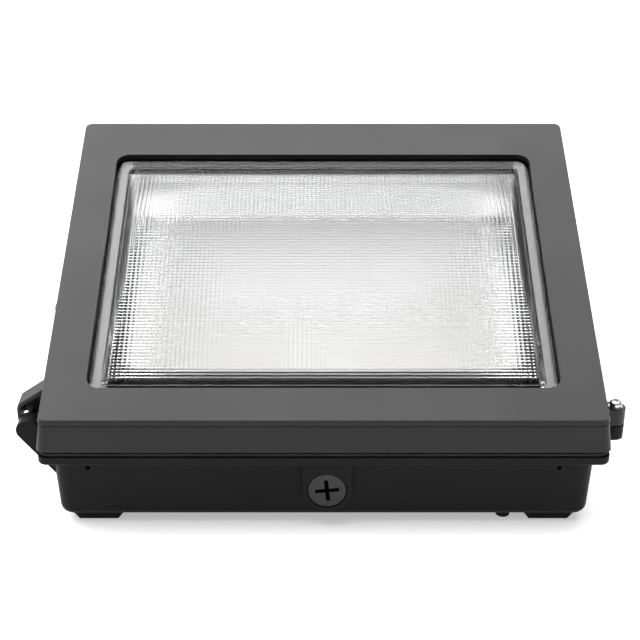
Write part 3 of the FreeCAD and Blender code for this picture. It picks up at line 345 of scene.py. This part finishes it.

# The glass's colour carries painted shade, darker towards its high end, and the strength of its reflection is painted
# by
# place: strong on its bare rim and weak over the prisms. Where the rim's band lies is given as (none from here, full
# from here), across for its inner and outer edge, and in Y for its near one.
CLEAR_GLASS, SHADED_GLASS, SHADE_FROM, SHADE_TO = (0.975, 0.977, 0.977, 1), (0.84, 0.845, 0.845, 1), 0.045, 0.078
RIM_INNER, RIM_OUTER, RIM_NEAR = (0.138, 0.139), (0.1472, 0.1458), (-0.1018, -0.1024)
PAINTED_PRISM_REFLECTION, PAINTED_RIM_REFLECTION = 0.15, 0.75
GLASS_ROUGHNESS, GLASS_BENDING = 0.14, 1.47


def on_face(across, along, out):
    """Points given across the door's sloping face, up its slope and out of its plane, in the frame's own axes."""
    y = FACE_ORIGIN[1] + along * math.cos(FACE_TILT) - out * math.sin(FACE_TILT)
    z = FACE_ORIGIN[2] + along * math.sin(FACE_TILT) + out * math.cos(FACE_TILT)
    return np.stack(np.broadcast_arrays(across + FACE_ORIGIN[0], y, z), axis=-1)


def round_min(first, second, radius):
    """The lower of two heights, with the crease between them rounded: a smooth minimum over a blending width."""
    blend = np.clip(0.5 + 0.5 * (second - first) / radius, 0, 1)
    return second * (1 - blend) + first * blend - radius * blend * (1 - blend)


def slope_line(value, start, end):
    """The height at a position, on the straight line through two (position, height) points."""
    return start[1] + (value - start[0]) * (end[1] - start[1]) / (end[0] - start[0])


def fade(value, start, end):
    """0 at start, 1 at end, level beyond both, and a smooth step between."""
    share = np.clip((value - start) / (end - start), 0, 1)
    return share * share * (3 - 2 * share)


def corner_wall(side, along, inset, radius):
    """Height of a steep wall round a rectangle with rounded corners: its slope times the distance from the outline."""
    half, near, far = LIP_HALF - inset, LIP_NEAR + inset, LIP_FAR - inset
    past_side = side - (half - radius)
    past_end = np.maximum(near + radius - along, along - (far - radius))
    beyond = np.hypot(np.maximum(past_side, 0), np.maximum(past_end, 0))
    within = np.minimum(np.maximum(past_side, past_end), 0)
    return LIP_HEIGHT + RIM_SLOPE * (radius - beyond - within)


def glass_outside(across, along):
    """Height of the glass's outside: the least of the tent's slopes, its near ledge and its side slopes, not below
    the lip, cut off by the rim. To it come upright flutes, each an arch of the absolute cosine, deepest just below
    the ridge, where a bell curve of the distance to it makes a comb."""
    side = np.abs(across)
    ledge = np.maximum(LEDGE_START[1], slope_line(along, LEDGE_END, TENT_FOOT))
    ledge = np.minimum(slope_line(along, (LIP_NEAR, LIP_HEIGHT), LEDGE_START), ledge)
    shoulder = slope_line(side, SHOULDER_FOOT, SHOULDER_TOP)
    side_wall = slope_line(side, SIDE_FOOT, SHOULDER_FOOT)
    height = round_min(slope_line(along, TENT_FOOT, RIDGE), slope_line(along, RIDGE, CREST), RIDGE_ROUND)
    height = round_min(height, ledge, LEDGE_ROUND)
    height = round_min(height, slope_line(along, CREST, FAR_FOOT), CREST_ROUND)
    height = round_min(height, round_min(shoulder, side_wall, SHOULDER_ROUND), HIP_ROUND)
    height = round_min(np.maximum(height, LIP_HEIGHT), corner_wall(side, along, 0, LIP_CORNER), LIP_ROUND)
    reach = fade(side, *FLUTE_SIDES) * fade(along, *FLUTE_NEAR) * fade(along, *FLUTE_FAR)
    below_ridge = (RIDGE[0] - along) / COMB_REACH
    reach = reach * (1 + np.where(along < RIDGE[0], COMB_DEPTH * np.exp(-below_ridge * below_ridge), 0))
    arch = np.abs(np.cos(math.pi * across * FLUTE_COUNT / (2 * FLUTE_HALF)))
    return np.maximum(height + FLUTE_HEIGHT * (arch - FLUTE_LEVEL) * reach, FLANGE_TOP)


def glass_inside(across, along):
    """Height of the hollow behind the glass: the outside's slopes set in by the wall, plus level prisms, which are a
    cosine of the position up the slope."""
    side = np.abs(across)
    height = round_min(slope_line(along, HOLLOW_FOOT, HOLLOW_RIDGE),
                       slope_line(along, HOLLOW_RIDGE, HOLLOW_CREST), HOLLOW_ROUND)
    height = round_min(height, slope_line(along, HOLLOW_START, HOLLOW_FOOT), HOLLOW_ROUND)
    height = round_min(height, slope_line(along, HOLLOW_CREST, HOLLOW_END), HOLLOW_ROUND)
    sides = round_min(slope_line(side, HOLLOW_SHOULDER, HOLLOW_TOP),
                      slope_line(side, HOLLOW_SIDE, HOLLOW_SHOULDER), HOLLOW_HIP_ROUND)
    height = round_min(height, sides, HOLLOW_HIP_ROUND)
    rim = corner_wall(side, along, HOLLOW_INSET, LIP_CORNER - HOLLOW_INSET)
    height = round_min(height, rim, HOLLOW_RIM_ROUND)
    reach = fade(along, *PRISM_NEAR) * fade(side, *PRISM_SIDES) * fade(along, *PRISM_FAR)
    outer_part = np.maximum(fade(side, *BORDER_SIDES), fade(along, *BORDER_NEAR))
    reach = reach * (PRISM_SHARE + (1 - PRISM_SHARE) * outer_part)
    prisms = 0.5 * PRISM_HEIGHT * np.cos(2 * math.pi * along / PRISM_PITCH)
    return np.maximum(height + prisms * reach, FLANGE_BACK)


def steps(runs):
    """Positions along a line: each run is a start, an end and a number of steps."""
    parts = [np.linspace(start, end, count, endpoint=False) for start, end, count in runs]
    return np.concatenate(parts + [[runs[-1][1]]])


def height_field(across_runs, along_runs, height):
    """A grid of points over the flange's rectangle, at the height that a function gives."""
    across, along = np.meshgrid(steps(across_runs), steps(along_runs))
    return on_face(across, along, height(across, along))


def border(points):
    """Indices of a grid's border, in order all the way round."""
    rows, columns = points.shape[:2]
    index = np.arange(rows * columns).reshape(rows, columns)
    return np.concatenate([index[0, :-1], index[:-1, -1], index[-1, :0:-1], index[:0:-1, 0]])


def length_shares(loop, points):
    """How far along a closed loop each of its points is, as a share of its length from 0 to 1."""
    ring = points[np.append(loop, loop[0])]
    run = np.concatenate([[0], np.cumsum(np.linalg.norm(np.diff(ring, axis=0), axis=1))])
    return run / run[-1]


def stitch(first, second, points):
    """Triangles between two border loops that start at the same corner, walking both by their share of length."""
    share_a, share_b = length_shares(first, points), length_shares(second, points)
    faces = []
    a = b = 0
    while a < len(first) or b < len(second):
        take_a = b >= len(second) or (a < len(first) and share_a[a + 1] <= share_b[b + 1])
        here_a, here_b = first[a % len(first)], second[b % len(second)]
        if take_a:
            a += 1
            faces.append((here_a, here_b, first[a % len(first)]))
        else:
            b += 1
            faces.append((here_a, here_b, second[b % len(second)]))
    return faces


def closed_glass():
    """Both height fields and the flange's edge between their borders: the points and faces of one closed mesh."""
    outer = height_field(OUTER_ACROSS, OUTER_ALONG, glass_outside)
    inner = height_field(INNER_ACROSS, INNER_ALONG, glass_inside)
    count = outer.shape[0] * outer.shape[1]
    points = np.concatenate([outer.reshape(-1, 3), inner.reshape(-1, 3)])
    faces = grid_faces(*outer.shape[:2]).tolist()
    faces += (count + grid_faces(*inner.shape[:2])[:, ::-1]).tolist()
    return points, faces + stitch(border(outer), border(inner) + count, points)


def pressed_glass():
    """Clear glass with a faint waviness from the mould, with painted shade that darkens it towards the high end, and a
    painted reflection that is strong on its rim and weak over the prisms.
    """
    glass, tree, shader = material("pressed_glass")
    axes = object_axes(tree)
    # Painted shade: the glass's colour darkens towards the high end.
    shade_share = remap(tree, axes["Y"], SHADE_FROM, SHADE_TO)
    tree.links.new(mix_colours(tree, shade_share, CLEAR_GLASS, SHADED_GLASS), shader.inputs["Base Color"])
    # Painted reflection: the reflection's tint is strong on the bare rim and weak over the prisms.
    side = maths(tree, "ABSOLUTE", axes["X"])
    band = maths(tree, "MULTIPLY", remap(tree, side, *RIM_INNER), remap(tree, side, *RIM_OUTER))
    rim = maths(tree, "MAXIMUM", band, remap(tree, axes["Y"], *RIM_NEAR))
    tree.links.new(remap(tree, rim, 0, 1, PAINTED_PRISM_REFLECTION, PAINTED_RIM_REFLECTION), shader.inputs["Specular Tint"])
    set_inputs(shader, Transmission_Weight=1, Roughness=GLASS_ROUGHNESS, IOR=GLASS_BENDING)
    bump(tree, shader, noise(tree, waves=120), depth=0.00002)
    return glass


glass = add_piece("glass_refractor_pressed", *closed_glass(), pressed_glass())
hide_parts("glass_refractor")
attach(glass, "door")

# ---------------------------------------------------------------- reflector
# Sheet steel, folded into a tray whose sides flare out towards the glass and screwed to the housing's posts. It is
# white inside. A light of its own makes the glass in front of it as pale as the photograph shows it.

TRAY_CENTRE = (0.0, 0.005, 0.12)
INNER_WHITE = (0.19, 0.19, 0.19), (0.21, 0.21, 0.21)
# The tray's dark outside is a wash coat and painted shade at once.
WASH_COAT_AND_SHADE = (0.03, 0.03, 0.03, 1)
# Painted light: the tray's white inside glows, though it is no lamp.
TRAY_GLOW = 0.62
GLOW_HEIGHTS, GLOW_SIDES = (0.08, 0.13), (0.095, 0.13)
HIGH_SHARE, SIDE_SHARE = 0.4, 0.72


def painted_glow(tree, shader, strength, colour=(1, 1, 1, 1)):
    """Painted light for the white inside, which is no lamp: a glow that is weaker high up and at both sides, where
    more daylight falls.
    """
    axes = object_axes(tree)
    level = remap(tree, axes["Z"], *GLOW_HEIGHTS, strength, strength * HIGH_SHARE)
    middle = remap(tree, maths(tree, "ABSOLUTE", axes["X"]), *GLOW_SIDES, 1, SIDE_SHARE)
    tree.links.new(maths(tree, "MULTIPLY", level, middle), shader.inputs["Emission Strength"])
    feed(tree, shader.inputs["Emission Color"], colour)


def white_coat():
    """Satin white paint inside and a dark wash coat outside, where the sheet's normal points away from the tray. The
    dark outside is also painted shade, for the shadow round the tray's outside.
    """
    paint, tree, shader = material("reflector_white")
    place = tree.nodes.new("ShaderNodeTexCoord")
    arm = vector_maths(tree, "SUBTRACT", place.outputs["Object"], TRAY_CENTRE).outputs["Vector"]
    turned = vector_maths(tree, "DOT_PRODUCT", arm, place.outputs["Normal"]).outputs["Value"]
    inside = tint(tree, noise(tree, waves=25, detail=3), *INNER_WHITE)
    # Dark outside: wash coat and painted shade for the shadow that falls round the tray.
    coats = mix_colours(tree, maths(tree, "GREATER_THAN", turned, 0), inside, WASH_COAT_AND_SHADE)
    tree.links.new(coats, shader.inputs["Base Color"])
    painted_glow(tree, shader, TRAY_GLOW, maths(tree, "LESS_THAN", turned, 0))
    set_inputs(shader, Roughness=0.45)
    bump(tree, shader, noise(tree, waves=1400), depth=0.00002)
    return paint


finish_nodes(white_coat(), "reflector")

# ---------------------------------------------------------------- light boards
# Aluminium-backed circuit boards under white solder mask, screwed to the reflector's floor. Each carries rows of
# small emitters, whose phosphor is a pale yellow.

# The boards and emitters glow with painted light, weaker high up and at the sides.
BOARD_GLOW, GEL_GLOW = 0.45, 0.34
PHOSPHOR_DARK, PHOSPHOR_LIGHT, PHOSPHOR_GLOW = (0.38, 0.32, 0.12), (0.44, 0.38, 0.16), (1, 0.86, 0.5, 1)


def solder_mask():
    """White lacquer that glows with painted light."""
    mask, tree, shader = material("solder_mask")
    tree.links.new(tint(tree, noise(tree, waves=200, detail=3), *INNER_WHITE), shader.inputs["Base Color"])
    set_inputs(shader, Roughness=0.3)
    painted_glow(tree, shader, BOARD_GLOW)
    return mask


def phosphor():
    """Yellow phosphor under clear silicone, which glows with painted light, weaker high up and at the sides."""
    gel, tree, shader = material("phosphor")
    tree.links.new(tint(tree, noise(tree, waves=2500), PHOSPHOR_DARK, PHOSPHOR_LIGHT), shader.inputs["Base Color"])
    set_inputs(shader, Roughness=0.25)
    painted_glow(tree, shader, GEL_GLOW, PHOSPHOR_GLOW)
    return gel


finish_nodes(solder_mask(), "left_led_board", "right_led_board")
finish_nodes(phosphor(), "left_led_emitters", "right_led_emitters")

# ---------------------------------------------------------------- screws, pins, washers and clips
# Turned and stamped steel: the door's captive screws and their washers are stainless, the pins, rings and inner
# screws are zinc plated, and the clips that hold the glass are blackened with their screws.

MARK_LIFT, MARK_ROUGHNESS = 1.12, 0.14


def plated_steel(name, tone, rough):
    """Bright metal with fine marks."""
    metal, tree, shader = material(name)
    light = [min(value * MARK_LIFT, 1) for value in tone]
    tree.links.new(tint(tree, noise(tree, waves=400, detail=3), tone, light), shader.inputs["Base Color"])
    set_inputs(shader, Metallic=1)
    marks = spread(tree, noise(tree, waves=900, detail=3), rough, rough + MARK_ROUGHNESS)
    tree.links.new(marks, shader.inputs["Roughness"])
    bump(tree, shader, noise(tree, waves=2500), depth=0.00001)
    return metal


finish_nodes(plated_steel("zinc_plate", (0.58, 0.58, 0.56), rough=0.3), "near_hinge_pin", "far_hinge_pin",
             "near_retaining_ring", "far_retaining_ring", "reflector_screws", "board_screws", "driver_screws")
finish_nodes(plated_steel("stainless_steel", (0.42, 0.42, 0.41), rough=0.16), "near_captive_screw",
             "near_flat_washer", "near_spring_washer", "far_captive_screw", "far_flat_washer", "far_spring_washer")
finish_nodes(plated_steel("blackened_steel", (0.05, 0.05, 0.05), rough=0.35), "glass_clips", "clip_screws")

# ---------------------------------------------------------------- driver, leads and connectors
# A sealed driver in an aluminium case, screwed to the housing's floor. PVC-covered leads run from it to the boards
# and to the supply's twist-on connectors, and one from the green ground screw.

PLASTIC_SHADE = 0.88


def plain_plastic(name, tone, rough=0.4):
    """Moulded plastic or wire insulation in one colour, slightly uneven."""
    plastic, tree, shader = material(name)
    dark = [value * PLASTIC_SHADE for value in tone]
    tree.links.new(tint(tree, noise(tree, waves=150, detail=3), dark, tone), shader.inputs["Base Color"])
    set_inputs(shader, Roughness=rough)
    return plastic


finish_nodes(plated_steel("driver_case", (0.6, 0.6, 0.62), rough=0.4), "led_driver")
finish_nodes(plain_plastic("green_screw", (0.05, 0.3, 0.1), rough=0.3), "ground_screw")
finish_nodes(plain_plastic("lead_black", (0.02, 0.02, 0.02)), "supply_lead_line")
finish_nodes(plain_plastic("lead_white", (0.8, 0.8, 0.8)), "supply_lead_neutral")
finish_nodes(plain_plastic("lead_green", (0.03, 0.3, 0.08)), "ground_lead")
finish_nodes(plain_plastic("lead_red", (0.5, 0.03, 0.03)), "led_lead_positive")
finish_nodes(plain_plastic("lead_dark", (0.025, 0.025, 0.025)), "led_lead_negative")
finish_nodes(plain_plastic("connector_orange", (0.75, 0.3, 0.04)), "wire_connectors")
